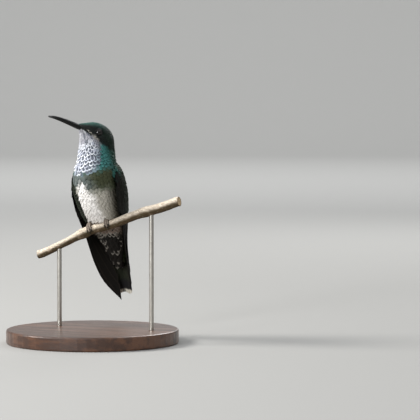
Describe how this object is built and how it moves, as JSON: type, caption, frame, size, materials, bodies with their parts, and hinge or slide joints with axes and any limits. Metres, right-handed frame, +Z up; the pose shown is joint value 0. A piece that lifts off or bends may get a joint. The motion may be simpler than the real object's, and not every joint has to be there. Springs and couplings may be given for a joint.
{
  "type": "hummingbird model",
  "caption": "Life-size still model of a perched female hummingbird with folded wings, gripping a cut length of branch on a plain round display stand.",
  "frame": {"origin": "centre of the stand base's underside", "axes": "+Z up, the bird's breast faces -Y and its left side +X; the head is turned 37 degrees to its right"},
  "size_m": [0.0886, 0.086, 0.1133],
  "materials": {
    "crown_feathers": "glossy blue-black feathers",
    "neck_feathers": "iridescent teal-green feathers",
    "belly_feathers": "soft pale feathers",
    "undertail_feathers": "dark feathers with pale bars",
    "wing_feathers": "satin black-brown feathers",
    "horn": "satin black horn",
    "eye": "wet black",
    "foot_skin": "scaly dark skin",
    "bark": "smooth pale bark",
    "stand_wood": "oiled dark wood",
    "stand_metal": "brushed"
  },
  "bodies": {
    "root": {"head": "crown_feathers", "neck": "neck_feathers", "trunk": "belly_feathers", "tail_coverts": "undertail_feathers", "tail": "wing_feathers", "wing_left_coverts": "neck_feathers", "wing_left_primaries": "wing_feathers", "wing_right_coverts": "neck_feathers", "wing_right_primaries": "wing_feathers", "bill_upper": "horn", "bill_lower": "horn", "eye_left": "eye", "eye_right": "eye", "foot_left": "foot_skin", "foot_right": "foot_skin", "claw_left_inner": "horn", "claw_left_middle": "horn", "claw_left_outer": "horn", "claw_left_hind": "horn", "claw_right_inner": "horn", "claw_right_middle": "horn", "claw_right_outer": "horn", "claw_right_hind": "horn", "perch": "bark", "stand_base": "stand_wood", "stand_rod_left": "stand_metal", "stand_rod_right": "stand_metal"}
  },
  "joints": []
}
